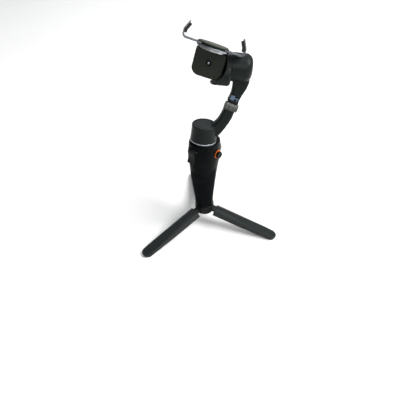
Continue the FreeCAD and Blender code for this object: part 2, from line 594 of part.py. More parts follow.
def arm_point(along, across):
    """Point in the arm plane measured from the hinge, along and across the arm."""
    x = HINGE[0] + UP_ARM.x * along + HINGE_DIR.x * across
    z = HINGE[1] + UP_ARM.z * along + HINGE_DIR.z * across
    return x, z


def hinge_line(radius, half):
    middle = V(HINGE[0], -HINGE_OUT, HINGE[1])
    return rod(radius, middle - HINGE_DIR * half, middle + HINGE_DIR * half)


def lower_arm(cup):
    half = ARM_WIDTH / 2
    outer = [(8.0, 2.6), (18.0, 6.6), (28.6, 20.6), (36.0, 35.4), arm_point(-6.4, half)]
    inner = [arm_point(-6.4, -half), (19.8, 37.8), (15.6, 30.6), (8.0, PAN_HEIGHT - 0.6)]
    body = plane_profile(outer, inner, ARM_THICK / 2, 4.2)
    solid_cup = cup.cut(cylinder(1.0, -1, 0)).fuse(cylinder(PAN_FOOT_RADIUS + GAP, -5, 2 * GAP + RING_THICK / 2))
    body = body.cut(solid_cup)
    # two ears carry the hinge barrel
    barrel_room = hinge_line(HINGE_RADIUS + GAP, HINGE_LENGTH)
    body = body.cut(barrel_room)
    keep("lower_arm", body, PAN)


def hinge():
    """Outer knuckles on the lower arm, the middle one on the upper arm, and the pin."""
    place = frame(V(HINGE[0], -HINGE_OUT, HINGE[1]), HINGE_DIR, UP_ARM)
    half = HINGE_LENGTH / 2
    inside = ARM_WIDTH / 2 - 1.4
    near, far = HINGE_OUT - ARM_THICK / 2 + 1.2, HINGE_OUT + ARM_THICK / 2 - 1.2
    barrel = rod(HINGE_RADIUS, V(-half, 0, 0), V(half, 0, 0))
    barrel = soften(barrel, 1.2, lambda e: len(e.Vertexes) == 1 and e.Length > 2 * HINGE_RADIUS)
    lug = box(-inside, inside, near, far, -HINGE_RADIUS - 1.0, 0.0)
    middle = rod(HINGE_RADIUS + GAP, V(-KNUCKLE / 2 - GAP / 2, 0, 0), V(KNUCKLE / 2 + GAP / 2, 0, 0))
    above = box(-half, half, HINGE_RADIUS * 0.6, far + 1, -0.8, 9)
    lower = barrel.fuse(lug.cut(above)).cut(middle)
    pin = rod(HINGE_PIN_RADIUS, V(-half + 1.0, 0, 0), V(half - 1.0, 0, 0))
    keep("hinge_barrel", lower.cut(pin), PAN.multiply(place))
    knuckle = rod(HINGE_RADIUS, V(-KNUCKLE / 2 + GAP / 2, 0, 0), V(KNUCKLE / 2 - GAP / 2, 0, 0))
    tongue = box(-KNUCKLE / 2 + GAP / 2, KNUCKLE / 2 - GAP / 2, 0.2, 4.4, 0, HINGE_RADIUS + 9.0)
    bore = rod(HINGE_PIN_RADIUS + FIT, V(-half, 0, 0), V(half, 0, 0))
    keep("hinge_pin", pin, PAN.multiply(place))
    keep("hinge_knuckle", knuckle.fuse(tongue).cut(bore), PAN.multiply(place))
    return moved(tongue, place)


def roll_barrel(radius, low, high):
    return rod(radius, V(low, 0, ROLL_HEIGHT), V(high, 0, ROLL_HEIGHT))


def upper_arm(tongue):
    half = ARM_WIDTH / 2
    start = HINGE_RADIUS + 0.6
    outer = [arm_point(start, half), arm_point(22.0, half + 0.3), (53.0, 92.0), (52.0, 96.0)]
    inner = [(30.6, 93.0), (31.8, 84.0), arm_point(17.0, -half + 0.2), arm_point(start, -half)]
    body = plane_profile(outer, inner, ARM_THICK / 2, 4.2)
    place = frame(V(HINGE[0], -ARM_THICK / 2, HINGE[1]), HINGE_DIR, UP_ARM)
    recess = box(-half + 1.3, half - 1.5, -1, 2.4, HINGE_RADIUS + 3.4, HINGE_RADIUS + 10.8)
    body = body.cut(hinge_line(HINGE_RADIUS + GAP, HINGE_LENGTH)).cut(tongue)
    body = body.cut(roll_body())
    keep("upper_arm", body.cut(moved(recess, place)), PAN)
    plate = box(-half + 1.6, half - 8.4, 0.7, 2.4, HINGE_RADIUS + 3.8, HINGE_RADIUS + 10.2)
    bar = box(half - 8.4, half - 1.9, 1.3, 2.4, HINGE_RADIUS + 6.2, HINGE_RADIUS + 8.0)
    post = Part.makeCylinder(1.1, 1.5, V(half - 4.2, 2.4, HINGE_RADIUS + 5.0), V(0, -1, 0))
    keep("latch_plate", plate.fuse(bar).fuse(post), PAN.multiply(place))


def roll_body():
    """Outside of the roll motor: a drum with a domed back."""
    body = roll_barrel(ROLL_RADIUS, ROLL_SEAT + GAP, ROLL_BACK)
    return soften(body, ROLL_DOME, lambda e: len(e.Vertexes) == 1 and e.BoundBox.XMin > ROLL_BACK - 0.1)


def roll():
    seat = frame(V(ROLL_SEAT, 0, ROLL_HEIGHT), V(0, 1, 0), V(1, 0, 0))
    seam = roll_barrel(ROLL_RADIUS + 1, ROLL_SEAM, ROLL_SEAM + 0.5).cut(roll_barrel(ROLL_RADIUS - 0.4, 0, 60))
    keep("roll_housing", roll_body().cut(moved(motor_hollow(), seat)).cut(seam), PAN)
    spigot, coil, bearing = motor_core()
    keep("roll_coil", moved(coil, seat), PAN)
    keep("roll_bearing", moved(bearing, seat), PAN)
    return moved(spigot, frame(V(ROLL_SEAT, 0, 0), V(0, 1, 0), V(1, 0, 0)))


def bracket(roll_spigot):
    """Disc on the roll motor, lobe under the tilt head, and the leg behind it."""
    disc = rod(ROLL_RADIUS, V(DISC_LOW, 0, 0), V(ROLL_SEAT, 0, 0))
    start = DISC_LOW - LOBE_REACH
    lobe = rod(LOBE_RADIUS, V(start, -LOBE_DROP, LOBE_OUT), V(ROLL_SEAT, -LOBE_DROP, LOBE_OUT))
    lobe = soften(lobe, 4.5, lambda e: len(e.Vertexes) == 1)
    swing = Part.makeCylinder(HEAD_SWING, 80, V(TILT_X, TILT_RISE, TILT_SEAT), V(0, 0, 1))
    reach = 12.8
    leg_part = box(TILT_X, ROLL_SEAT, TILT_RISE - reach, TILT_RISE + reach - 4, TILT_SEAT - LEG_THICK, TILT_SEAT)
    end = Part.makeCylinder(reach, LEG_THICK, V(TILT_X, TILT_RISE, TILT_SEAT - LEG_THICK), V(0, 0, 1))
    end = soften(end, 2.0, lambda e: len(e.Vertexes) == 1 and e.BoundBox.ZMax < TILT_SEAT - 1)
    around = rod(ROLL_RADIUS, V(-60, 0, 0), V(60, 0, 0))
    stop = moved(box(0, 60, CLAMP_LIFT - GAP, 60, -60, 60), BRACKET.inverse().multiply(TILT))
    body = disc.fuse(lobe).cut(swing).cut(stop).fuse(leg_part.common(around)).fuse(end)
    spigot = motor_core()[0]
    spigot.translate(V(TILT_X, TILT_RISE, TILT_SEAT))
    keep("tilt_bracket", body.fuse(spigot).fuse(roll_spigot), BRACKET)


def tilt():
    coil, bearing = motor_core()[1:]
    seat = FreeCAD.Placement(V(0, 0, TILT_SEAT), FreeCAD.Rotation())
    keep("tilt_coil", moved(coil, seat), TILT)
    keep("tilt_bearing", moved(bearing, seat), TILT)
    low = TILT_SEAT + GAP
    body = box(-HEAD_HALF, HEAD_HALF, -HEAD_DOWN, HEAD_UP, low, HEAD_FRONT)
    body = soften(body, HEAD_CORNER, lambda e: e.BoundBox.ZLength > 20 and e.BoundBox.YMax < 0)
    body = soften(body, 3.0, lambda e: e.BoundBox.ZLength > 20 and e.BoundBox.YMax > 0
                  and e.BoundBox.XLength < 0.01 and abs(abs(e.BoundBox.XMin) - HEAD_HALF) < 0.01
                  and e.BoundBox.YLength < 0.01)
    body = body.makeFillet(1.4, [e for e in body.Edges if e.BoundBox.ZMin > HEAD_FRONT - 0.01])
    seam = box(-HEAD_HALF - 1, HEAD_HALF + 1, SEAM_DROP - 0.2, SEAM_DROP + 0.2, HEAD_FRONT - 0.35, HEAD_FRONT + 1)
    cap_room = cylinder(CAP_RADIUS, HEAD_FRONT - 1.6, HEAD_FRONT + 1)
    keep("tilt_housing", body.cut(moved(motor_hollow(), seat)).cut(cap_room).cut(seam), TILT)
    ring = tube(CAP_RADIUS, CAP_RADIUS - 1.3, HEAD_FRONT - 1.6, HEAD_FRONT + 0.5)
    centre = cylinder(CAP_RADIUS - 1.3, HEAD_FRONT - 1.6, HEAD_FRONT - 0.9)
    button = cylinder(1.3, HEAD_FRONT - 1.2, HEAD_FRONT - 0.1)
    keep("tilt_cap", ring.fuse(centre).fuse(button), TILT)
    keep("mount_plate", moved(ellipse_plate(15.0, 11.5, HEAD_UP, HEAD_UP + PLATE_THICK), SEAT_TURN), TILT)


def bent_strip(points, thick, width, bend):
    """Flat strip along a path in the XY plane, centred on Z = 0, with round bends."""
    def side(sign):
        out = []
        for i, (x, y) in enumerate(points):
            before = points[max(i - 1, 0)]
            after = points[min(i + 1, len(points) - 1)]
            a = V(x - before[0], y - before[1], 0) if i else V(after[0] - x, after[1] - y, 0)
            b = V(after[0] - x, after[1] - y, 0) if i < len(points) - 1 else a
            a, b = a.normalize(), b.normalize()
            normal = V(-a.y - b.y, a.x + b.x, 0).normalize()
            reach = sign * thick / 2 / max(0.2, V(-a.y, a.x, 0).dot(normal))
            out.append(V(x + normal.x * reach, y + normal.y * reach, -width / 2))
        return out
    left, right = side(1), side(-1)
    solid = prism(left + right[::-1], V(0, 0, width))
    for corner, first, second in zip(range(1, len(points) - 1), left[1:-1], right[1:-1]):
        for spot, radius in ((first, bend), (second, bend + thick)):
            turn_left = (V(*points[corner], 0) - V(*points[corner - 1], 0)).cross(
                V(*points[corner + 1], 0) - V(*points[corner], 0)).z > 0
            if not turn_left:
                radius = 2 * bend + thick - radius
            solid = soften(solid, radius, lambda e, p=spot: e.BoundBox.ZLength > width - 0.1
                           and abs(e.BoundBox.XMin - p.x) < 0.01 and abs(e.BoundBox.YMin - p.y) < 0.01)
    return solid


def clamp():
    plate = moved(ellipse_plate(CLAMP_HALF, CLAMP_DEPTH, CLAMP_LIFT, CLAMP_LIFT + EDGE_THICK), SEAT_TURN)
    middle = CLAMP_LIFT + EDGE_THICK
    top = middle + BASE_THICK
    base = moved(ellipse_plate(CLAMP_HALF - 0.2, CLAMP_DEPTH - 0.2, middle, top), SEAT_TURN)
    strip_y = middle + BASE_THICK / 2
    room = STRIP_THICK / 2 + 0.12
    strip_z = CLAMP_MIDDLE + STRIP_OUT
    slot = box(-60, 60, strip_y - room, strip_y + room, strip_z - STRIP_WIDTH / 2 - GAP,
               strip_z + STRIP_WIDTH / 2 + GAP)
    pad = moved(ellipse_plate(CLAMP_HALF - 1.2, CLAMP_DEPTH - 1.2, top, top + CLAMP_PAD_THICK), SEAT_TURN)
    pad = soften(pad, 1.1, lambda e: e.BoundBox.YMin > top + CLAMP_PAD_THICK - 0.01 and e.Length > 40)
    keep("clamp_edge", plate, TILT)
    keep("clamp_base", base.cut(slot), TILT)
    keep("clamp_pad", pad, TILT)
    lean = math.radians(HOOK_LEAN)
    out = STRIP_HALF_SPREAD - STRIP_THICK / 2
    up = strip_y + HOOK_RISE
    path = [(1.2, strip_y), (out, strip_y), (out, up),
            (out - HOOK_LIP * math.sin(lean), up + HOOK_LIP * math.cos(lean))]
    shift = STRIP_THICK / 2 + LINER_THICK / 2
    lip = HOOK_LIP - 2.2
    liner_path = [(out - shift, strip_y + HOOK_BEND + 1.6), (out - shift, up - shift * math.tan(lean / 2)),
                  (out - shift - lip * math.sin(lean), up - shift * math.tan(lean / 2) + lip * math.cos(lean))]
    middle_z = FreeCAD.Placement(V(0, 0, strip_z), FreeCAD.Rotation())
    strip = moved(bent_strip(path, STRIP_THICK, STRIP_WIDTH, HOOK_BEND), middle_z)
    liner = moved(bent_strip(liner_path, LINER_THICK, STRIP_WIDTH - 1.2, 1.0), middle_z).cut(strip)
    for name, turn in (("right", False), ("left", True)):
        for piece, solid in (("clamp_arm", strip), ("clamp_tip", liner)):
            if turn:
                solid = solid.mirror(V(0, 0, 0), V(1, 0, 0))
            keep("%s_%s" % (piece, name), solid, TILT)


def main():
    os.makedirs("parts", exist_ok=True)
    stand()
    handle()
    radius, top = rod_stages()
    cup = pan(radius, top)
    lower_arm(cup)
    upper_arm(hinge())
    bracket(roll())
    tilt()
    clamp()


if __name__ == "__main__":
    main()
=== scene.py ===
"""Finishes, small fittings and studio for a phone gimbal on its folding table stand."""

import math

import bmesh
import bpy
from bpy.props import FloatProperty, FloatVectorProperty, IntProperty, PointerProperty
from mathutils import Matrix, Vector


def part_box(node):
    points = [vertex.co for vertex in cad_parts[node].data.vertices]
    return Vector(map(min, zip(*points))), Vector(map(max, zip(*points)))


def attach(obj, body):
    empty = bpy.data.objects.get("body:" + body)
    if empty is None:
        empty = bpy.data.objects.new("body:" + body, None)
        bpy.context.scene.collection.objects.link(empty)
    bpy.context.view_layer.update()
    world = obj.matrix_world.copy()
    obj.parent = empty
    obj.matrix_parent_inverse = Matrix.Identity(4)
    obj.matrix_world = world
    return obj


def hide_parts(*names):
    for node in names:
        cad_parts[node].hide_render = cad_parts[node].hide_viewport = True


bl_info = {
    "name": "Phone Gimbal",
    "version": (1, 0, 0),
    "blender": (4, 5, 0),
    "location": "3D View > Sidebar > Gimbal",
    "description": "Finishes and small fittings for a folding three-axis phone gimbal",
    "category": "Object",
}

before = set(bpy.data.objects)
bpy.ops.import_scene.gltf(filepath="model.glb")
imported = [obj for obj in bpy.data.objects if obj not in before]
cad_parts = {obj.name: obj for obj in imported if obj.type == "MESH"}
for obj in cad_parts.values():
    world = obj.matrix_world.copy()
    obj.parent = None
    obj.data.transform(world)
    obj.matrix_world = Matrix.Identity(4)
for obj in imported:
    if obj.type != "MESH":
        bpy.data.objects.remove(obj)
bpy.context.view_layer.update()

MM = 0.001

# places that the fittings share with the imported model, in millimetres and degrees
FOOT_Z = 43.9
RING_Z = 173.9
LEAN = 7.2
PAN_REST = -46.0
ROLL_HEIGHT = 105.0
ROLL_REST = 9.5
TILT_X, TILT_RISE = -1.6, 4.0
TILT_REST = 102.0
HEAD_FRONT = 18.0
CAP_RADIUS = 3.6
SCREW_HEIGHTS = (16.0, 50.0)
HOOK_LEAN = math.radians(28.0)
TIP_START = Vector((35.3, 27.11, 17.8))    # middle of a tip where it starts to lean, in the clamp's frame
WHEEL_STEM = 3.6                           # stem of the focus wheel, let into the handle

# sizes of the fittings alone, in metres
SCREW_HEIGHT = 0.0014
SCREW_SUNK = 0.0015
LIGHT_RADIUS, LIGHT_LENGTH, LIGHT_SUNK = 0.0003, 0.0016, 0.00022
MARK_RADIUS, MARK_LENGTH, MARK_SUNK = 0.00026, 0.0024, 0.0002
TIP_RIB_LENGTH = 0.0104

# where the ribs of a rubber tip start, how far they run and how far they stand out, in millimetres
TIP_RIB_START, TIP_RIB_RUN, TIP_RIB_OUT = 1.6, 5.6, 1.35

CAMERA_PLACE = (0.3006, -0.2867, 0.4534)
CAMERA_TURN = (math.radians(44), 0, math.radians(45))
CAMERA_ANGLE = 2 * math.atan(210 / 333.3)
LAMP_AIM = Vector((0, 0, 0.18))


def turned(vector, axis, degrees):
    return Matrix.Rotation(math.radians(degrees), 3, axis) @ vector


def placing(origin, x_dir, z_dir):
    """Matrix, in metres, of a frame whose origin is given in millimetres."""
    y_dir = z_dir.cross(x_dir)
    turn = Matrix((x_dir, y_dir, z_dir)).transposed().to_4x4()
    return Matrix.Translation(origin * MM) @ turn


PAN_AXIS = Vector((0, math.sin(math.radians(LEAN)), math.cos(math.radians(LEAN))))
HOME = Vector((0, math.cos(math.radians(LEAN)), -math.sin(math.radians(LEAN))))
ARM_DIR = turned(HOME, PAN_AXIS, PAN_REST)
ROLL_POINT = Vector((0, 0, RING_Z)) + PAN_AXIS * ROLL_HEIGHT
ACROSS = turned(ARM_DIR.cross(PAN_AXIS), ARM_DIR, -ROLL_REST)
ROLL_UP = ACROSS.cross(ARM_DIR)
TILT_POINT = ROLL_POINT + ARM_DIR * TILT_X + ROLL_UP * TILT_RISE
STRIP_DIR = turned(ROLL_UP, ACROSS, -TILT_REST)
TILT = placing(TILT_POINT, STRIP_DIR, ACROSS)


# ---- settings a user would change ----------------------------------------------------
def length(name, description, value):
    return FloatProperty(name=name, description=description, default=value, subtype="DISTANCE", unit="LENGTH")


def colour(name, description, value):
    return FloatVectorProperty(name=name, description=description, default=value, size=3,
                               min=0.0, max=1.0, subtype="COLOR")


class GimbalSizes(bpy.types.PropertyGroup):
    """Sizes of the fittings and of the studio"""
    edge: length("Edge radius", "Softness of the moulded edges", 0.00045)
    wheel_ribs: IntProperty(name="Wheel ribs", description="Ribs round the focus wheel", default=28, min=3)
    wheel_rib: length("Wheel rib", "Radius of one rib of the focus wheel", 0.00033)
    screw_head: length("Screw head", "Radius of the handle's screw heads", 0.0021)
    tip_ribs: IntProperty(name="Tip ribs", description="Ribs on each rubber tip", default=5, min=2)
    tip_rib: length("Tip rib", "Radius of one rib of a rubber tip", 0.0004)
    lights: IntProperty(name="Status lights", description="Lamps in the status window", default=4, min=1)
    floor: length("Floor", "Half width of the floor", 4.0)
    key: FloatProperty(name="Key lamp", description="Power of the overhead lamp", default=112.0, min=0.0)
    fill: FloatProperty(name="Fill lamp", description="Power of the side lamps", default=18.0, min=0.0)
    sky: FloatProperty(name="Sky", description="Strength of the light from all round", default=0.22, min=0.0)


class GimbalColours(bpy.types.PropertyGroup):
    """Colours of the finishes"""
    shell: colour("Shell", "Moulded arms and motors", (0.0085, 0.0115, 0.0108))
    # colour of upward faces: painted light from above with a bluer sky tint, mixed with fine dust
    shell_top_light_and_dust: colour("Shell haze", "Fine dust on upward faces", (0.0175, 0.0215, 0.0215))
    head: colour("Head", "Tilt motor housing", (0.0150, 0.0170, 0.0135))
    handle: colour("Handle", "Polished handle shells", (0.0010, 0.0016, 0.0019))
    grip: colour("Grip", "Rubber sleeve", (0.0014, 0.0022, 0.0030))
    leg: colour("Leg", "Stand legs", (0.0068, 0.0078, 0.0078))
    rubber: colour("Rubber", "Pads and tips", (0.075, 0.077, 0.066))
    latch: colour("Latch", "Latch plate of the folding arm", (0.11, 0.15, 0.21))
    warm: colour("Hinge", "Painted hinge barrel", (0.066, 0.071, 0.065))
    silver: colour("Silver", "Bright trim", (0.46, 0.49, 0.54))
    steel: colour("Steel", "Plain steel", (0.50, 0.50, 0.49))
    brass: colour("Brass", "Thread insert", (0.62, 0.45, 0.20))
    copper: colour("Copper", "Motor windings", (0.62, 0.26, 0.12))
    orange: colour("Orange", "Ring behind the wheel", (0.62, 0.13, 0.018))
    red: colour("Red", "Record button", (0.50, 0.012, 0.010))
    board: colour("Board", "Circuit board", (0.010, 0.075, 0.030))
    wrap: colour("Wrap", "Battery wrap", (0.03, 0.07, 0.22))
    light: colour("Light", "Status lights", (0.55, 0.75, 0.60))


# ---- finishes ------------------------------------------------------------------------
class Value:
    """A socket of a material, with the arithmetic that adds its Math nodes."""

    def __init__(self, finish, socket):
        self.finish, self.socket = finish, socket

    def maths(self, operation, *terms):
        return self.finish.node("ShaderNodeMath", {"operation": operation}, dict(enumerate(terms)))

    def __add__(self, other):
        return self.maths("ADD", self, other)

    __radd__ = __add__

    def __sub__(self, other):
        return self.maths("SUBTRACT", self, other)

    def __rsub__(self, other):
        return self.maths("SUBTRACT", other, self)

    def __mul__(self, other):
        return self.maths("MULTIPLY", self, other)

    __rmul__ = __mul__

    def eased(self, low, high):
        """0 below low, 1 above high, smooth between."""
        return self.finish.node("ShaderNodeMapRange", {"interpolation_type": "SMOOTHSTEP"},
                                {"Value": self, "From Min": low, "From Max": high})


class Finish:
    """A material being laid out: its nodes read the object's own coordinates, in metres."""

    def __init__(self, name):
        self.material = bpy.data.materials.new(name)
        self.material.use_nodes = True
        self.tree = self.material.node_tree
        self.tree.nodes.clear()
        self.place = self.node("ShaderNodeTexCoord", output="Object")
        self.facing = self.node("ShaderNodeTexCoord", output="Normal")

    def node(self, kind, settings=None, values=None, output=0):
        made = self.tree.nodes.new(kind)
        for key, value in (settings or {}).items():
            setattr(made, key, value)
        for key, value in (values or {}).items():
            if isinstance(value, Value):
                self.tree.links.new(value.socket, made.inputs[key])
            else:
                made.inputs[key].default_value = value
        return Value(self, made.outputs[output]) if len(made.outputs) else None

    def noise(self, size, detail=2.0, stretch=(1, 1, 1), rough=0.5):
        """Noise whose lumps are about size metres across."""
        place = self.place
        if stretch != (1, 1, 1):
            place = self.node("ShaderNodeMapping", None, {"Vector": place, "Scale": stretch})
        return self.node("ShaderNodeTexNoise", None,
                         {"Vector": place, "Scale": 1.0 / size, "Detail": detail, "Roughness": rough})

    def cells(self, size, feature="F1"):
        """Cells about size metres across."""
        return self.node("ShaderNodeTexVoronoi", {"feature": feature},
                         {"Vector": self.place, "Scale": 1.0 / size})

    def mix(self, factor, first, second):
        """Colour that goes from first to second."""
        pair = [c if isinstance(c, Value) else (*c, 1.0) for c in (first, second)]
        return self.node("ShaderNodeMix", {"data_type": "RGBA"},
                         {0: factor, 6: pair[0], 7: pair[1]}, output=2)

    def upward(self):
        """How far a face looks up."""
        return self.node("ShaderNodeSeparateXYZ", None, {0: self.facing}, output=2)

    def edges(self, radius):
        """(normal with rounded edges, mask of the edges)."""
        rounded = self.node("ShaderNodeBevel", {"samples": 6}, {"Radius": radius})
        plain = self.node("ShaderNodeNewGeometry", output="Normal")
        same = self.node("ShaderNodeVectorMath", {"operation": "DOT_PRODUCT"},
                         {0: rounded, 1: plain}, output="Value")
        return rounded, (1.0 - same).eased(0.02, 0.24)

    def close(self, base, roughness, height=None, depth=0.00002, rounded=None, metallic=0.0, specular=0.5,
              coat=0.0, coat_roughness=0.1, sheen=0.0, emission=None):
        """Joins the shader to the output."""
        values = {"Base Color": base if isinstance(base, Value) else (*base, 1.0), "Roughness": roughness,
                  "Metallic": metallic, "Specular IOR Level": specular, "Coat Weight": coat,
                  "Coat Roughness": coat_roughness, "Sheen Weight": sheen}
        if emission:
            values["Emission Color"] = (*emission[0], 1.0)
            values["Emission Strength"] = emission[1]
        normal = rounded
        if height is not None:
            bump = {"Height": height, "Distance": depth, "Strength": 1.0}
            if rounded is not None:
                bump["Normal"] = rounded
            normal = self.node("ShaderNodeBump", None, bump)
        if normal is not None:
            values["Normal"] = normal
        shader = self.node("ShaderNodeBsdfPrincipled", None, values)
        self.node("ShaderNodeOutputMaterial", None, {"Surface": shader})
        return self.material


def shaded(tint, amount):
    return tuple(min(1.0, c * amount) for c in tint)


def moulded(name, tint, upward_light_and_dust, edge, roughness=0.42, specular=0.10, coat=0.0, grain=0.00032):
    """Satin moulded plastic: spark-eroded grain, handling marks, painted light from above with some dust on
    upward faces, rubbed edges with a painted highlight.
    """
    f = Finish(name)
    cloud = f.noise(0.018, 3.0)
    marks = f.noise(0.004, 4.0, (1, 1, 3.5), 0.62).eased(0.52, 0.78)
    # upward faces go lighter and bluer: painted light from above, with some dust from the noise
    dust = f.upward().eased(0.1, 0.95) * (f.noise(0.006, 5.0) * 0.5 + 0.6)
    rounded, edges = f.edges(edge)
    # lighter patches along the edges: rubbed wear, together with a painted edge highlight
    edge_wear_and_highlight = edges * f.noise(0.0035, 3.0).eased(0.35, 0.65)
    base = f.mix(cloud, shaded(tint, 0.82), shaded(tint, 1.2))
    base = f.mix(dust, base, upward_light_and_dust)
    base = f.mix(marks * 0.18, base, shaded(upward_light_and_dust, 1.35))
    base = f.mix(edge_wear_and_highlight * 0.7, base, shaded(upward_light_and_dust, 3.2))
    fine = f.noise(grain, 2.0) * 0.7 + f.cells(grain * 1.9) * 0.5
    rough = roughness + 0.14 * (cloud - 0.5) + 0.12 * marks - 0.14 * edge_wear_and_highlight
    return f.close(base, rough, fine, 0.000018, rounded, specular=specular, coat=coat)


def polished(name, tint, edge, roughness=0.22, specular=0.04):
    """Dark glossy shell with faint wiping marks and fingerprints."""
    f = Finish(name)
    wipe = f.noise(0.003, 4.0, (1, 1, 0.15), 0.6)
    prints = f.noise(0.012, 5.0, rough=0.65).eased(0.48, 0.72)
    rounded, edges = f.edges(edge)
    base = f.mix(f.noise(0.02, 2.0), shaded(tint, 0.8), shaded(tint, 1.3))
    base = f.mix(prints * 0.3, base, shaded(tint, 4.0))
    # edges much lighter: painted highlight along the edges
    base = f.mix(edges * 0.6, base, shaded(tint, 14.0))
    rough = roughness + 0.16 * prints + 0.05 * wipe
    return f.close(base, rough, f.noise(0.0011, 3.0) + 0.3 * wipe, 0.000006, rounded, specular=specular)


def sleeve(name, tint, edge):
    """Soft rubber with a fine pebble pattern, worn smoother in patches."""
    f = Finish(name)
    pebble = f.cells(0.00105, "SMOOTH_F1")
    gaps = f.cells(0.00105, "DISTANCE_TO_EDGE").eased(0.0, 0.14)
    worn = f.noise(0.022, 3.0).eased(0.45, 0.75)
    lint = f.noise(0.0016, 6.0, (1, 1, 6), 0.7).eased(0.70, 0.80)
    rounded = f.edges(edge)[0]
    # darker in the grooves between the pebbles: painted shade in the recesses
    base = f.mix(gaps, shaded(tint, 0.55), shaded(tint, 1.25))
    base = f.mix(worn * 0.4, base, shaded(tint, 1.9))
    base = f.mix(lint * 0.35, base, shaded(tint, 9.0))
    rough = 0.78 - 0.22 * worn + 0.08 * pebble
    height = gaps * 0.8 + (1.0 - pebble) * 0.6 + 0.2 * f.noise(0.0003)
    return f.close(base, rough, height, 0.00010, rounded, specular=0.05)


def rubber(name, tint, edge, line=(1, 1, 1)):
    """Matte rubber with dust in its pores."""
    f = Finish(name)
    cloud = f.noise(0.009, 4.0)
    pores = f.cells(0.00042).eased(0.05, 0.4)
    dust = f.noise(0.0024, 6.0, line, 0.7).eased(0.5, 0.75)
    rounded, edges = f.edges(edge)
    base = f.mix(cloud, shaded(tint, 0.78), shaded(tint, 1.22))
    base = f.mix(dust * 0.4, base, shaded(tint, 1.9))
    # edges lighter: painted highlight along the edges
    base = f.mix(edges * 0.4, base, shaded(tint, 1.7))
    rough = 0.68 + 0.12 * dust + 0.06 * cloud
    height = pores + 0.6 * f.noise(0.0009, 3.0)
    return f.close(base, rough, height, 0.00003, rounded, specular=0.15, sheen=0.05)


def metal(name, tint, edge, roughness=0.28, line=(1, 1, 1), painted=False):
    """Brushed or turned metal; line squeezes the marks along the brushing."""
    f = Finish(name)
    brush = f.noise(0.0009, 5.0, line, 0.6)
    stain = f.noise(0.011, 4.0).eased(0.4, 0.8)
    scratch = f.noise(0.0025, 3.0, (line[0] * 3, line[1] * 3, line[2]), 0.7).eased(0.66, 0.72)
    rounded, edges = f.edges(edge)
    base = f.mix(brush, shaded(tint, 0.84), shaded(tint, 1.1))
    base = f.mix(stain * 0.35, base, shaded(tint, 0.7))
    # edges lighter: painted highlight along the edges
    base = f.mix(edges * 0.5, base, shaded(tint, 1.3))
    rough = roughness + 0.12 * stain + 0.10 * brush - 0.08 * scratch
    return f.close(base, rough, brush + 0.4 * scratch, 0.000007, rounded, metallic=0.25 if painted else 1.0)


def winding(name, tint, edge):
    """Enamelled copper wire, laid in turns."""
    f = Finish(name)
    turns = f.node("ShaderNodeTexWave", {"bands_direction": "Z", "wave_type": "BANDS"},
                   {"Vector": f.place, "Scale": 900.0, "Distortion": 1.2, "Detail": 1.0})
    # darker between the turns: painted shade in the grooves between the wires
    base = f.mix(turns, shaded(tint, 0.35), shaded(tint, 1.15))
    base = f.mix(f.noise(0.003) * 0.4, base, shaded(tint, 0.6))
    return f.close(base, 0.30 + 0.2 * f.noise(0.004), turns, 0.0001, f.edges(edge)[0], metallic=0.9)


def circuit(name, tint, edge):
    """Green solder mask with traces and pads."""
    f = Finish(name)
    upright = f.node("ShaderNodeMapping", None, {"Vector": f.place, "Rotation": (math.pi / 2, 0, 0)})
    lanes = f.node("ShaderNodeTexBrick", {"offset": 0.5},
                   {"Vector": upright, "Scale": 260.0, "Mortar Size": 0.035, "Color1": (0, 0, 0, 1),
                    "Color2": (0, 0, 0, 1), "Mortar": (1, 1, 1, 1)}, output="Fac")
    pads = 1.0 - f.cells(0.0031).eased(0.12, 0.2)
    base = f.mix(lanes * 0.6, tint, shaded(tint, 2.2))
    base = f.mix(pads, base, (0.55, 0.50, 0.36))
    return f.close(base, 0.35 + 0.15 * f.noise(0.005), lanes + pads, 0.00004, f.edges(edge)[0])


def wrapped(name, tint, edge):
    """Shrink film over the cells."""
    f = Finish(name)
    folds = f.noise(0.004, 3.0, (1, 1, 0.3))
    base = f.mix(folds, shaded(tint, 0.8), shaded(tint, 1.3))
    return f.close(base, 0.25 + 0.15 * folds, folds, 0.0001, f.edges(edge)[0], coat=0.4)


def smoked(name, edge):
    """Smoked window over the status lights."""
    f = Finish(name)
    smear = f.noise(0.004, 4.0, (1, 1, 0.3))
    base = f.mix(smear, (0.006, 0.007, 0.009), (0.014, 0.016, 0.018))
    return f.close(base, 0.06 + 0.12 * smear, f.noise(0.002), 0.000004, f.edges(edge)[0], coat=1.0,
                   coat_roughness=0.04)


def lamp_lens(name, tint):
    f = Finish(name)
    base = f.mix(f.noise(0.0006), shaded(tint, 0.7), tint)
    return f.close(base, 0.2 + 0.1 * f.noise(0.0008), emission=(tint, 0.35))


def floor_paint(name):
    """Seamless pale paper."""
    f = Finish(name)
    fibre = f.noise(0.0012, 4.0)
    base = f.mix(f.noise(0.12, 3.0), (0.93, 0.93, 0.93), (0.96, 0.96, 0.96))
    base = f.mix(fibre * 0.05, base, (0.85, 0.85, 0.85))
    return f.close(base, 0.9, fibre, 0.00003, specular=0.1)


MADE = {}


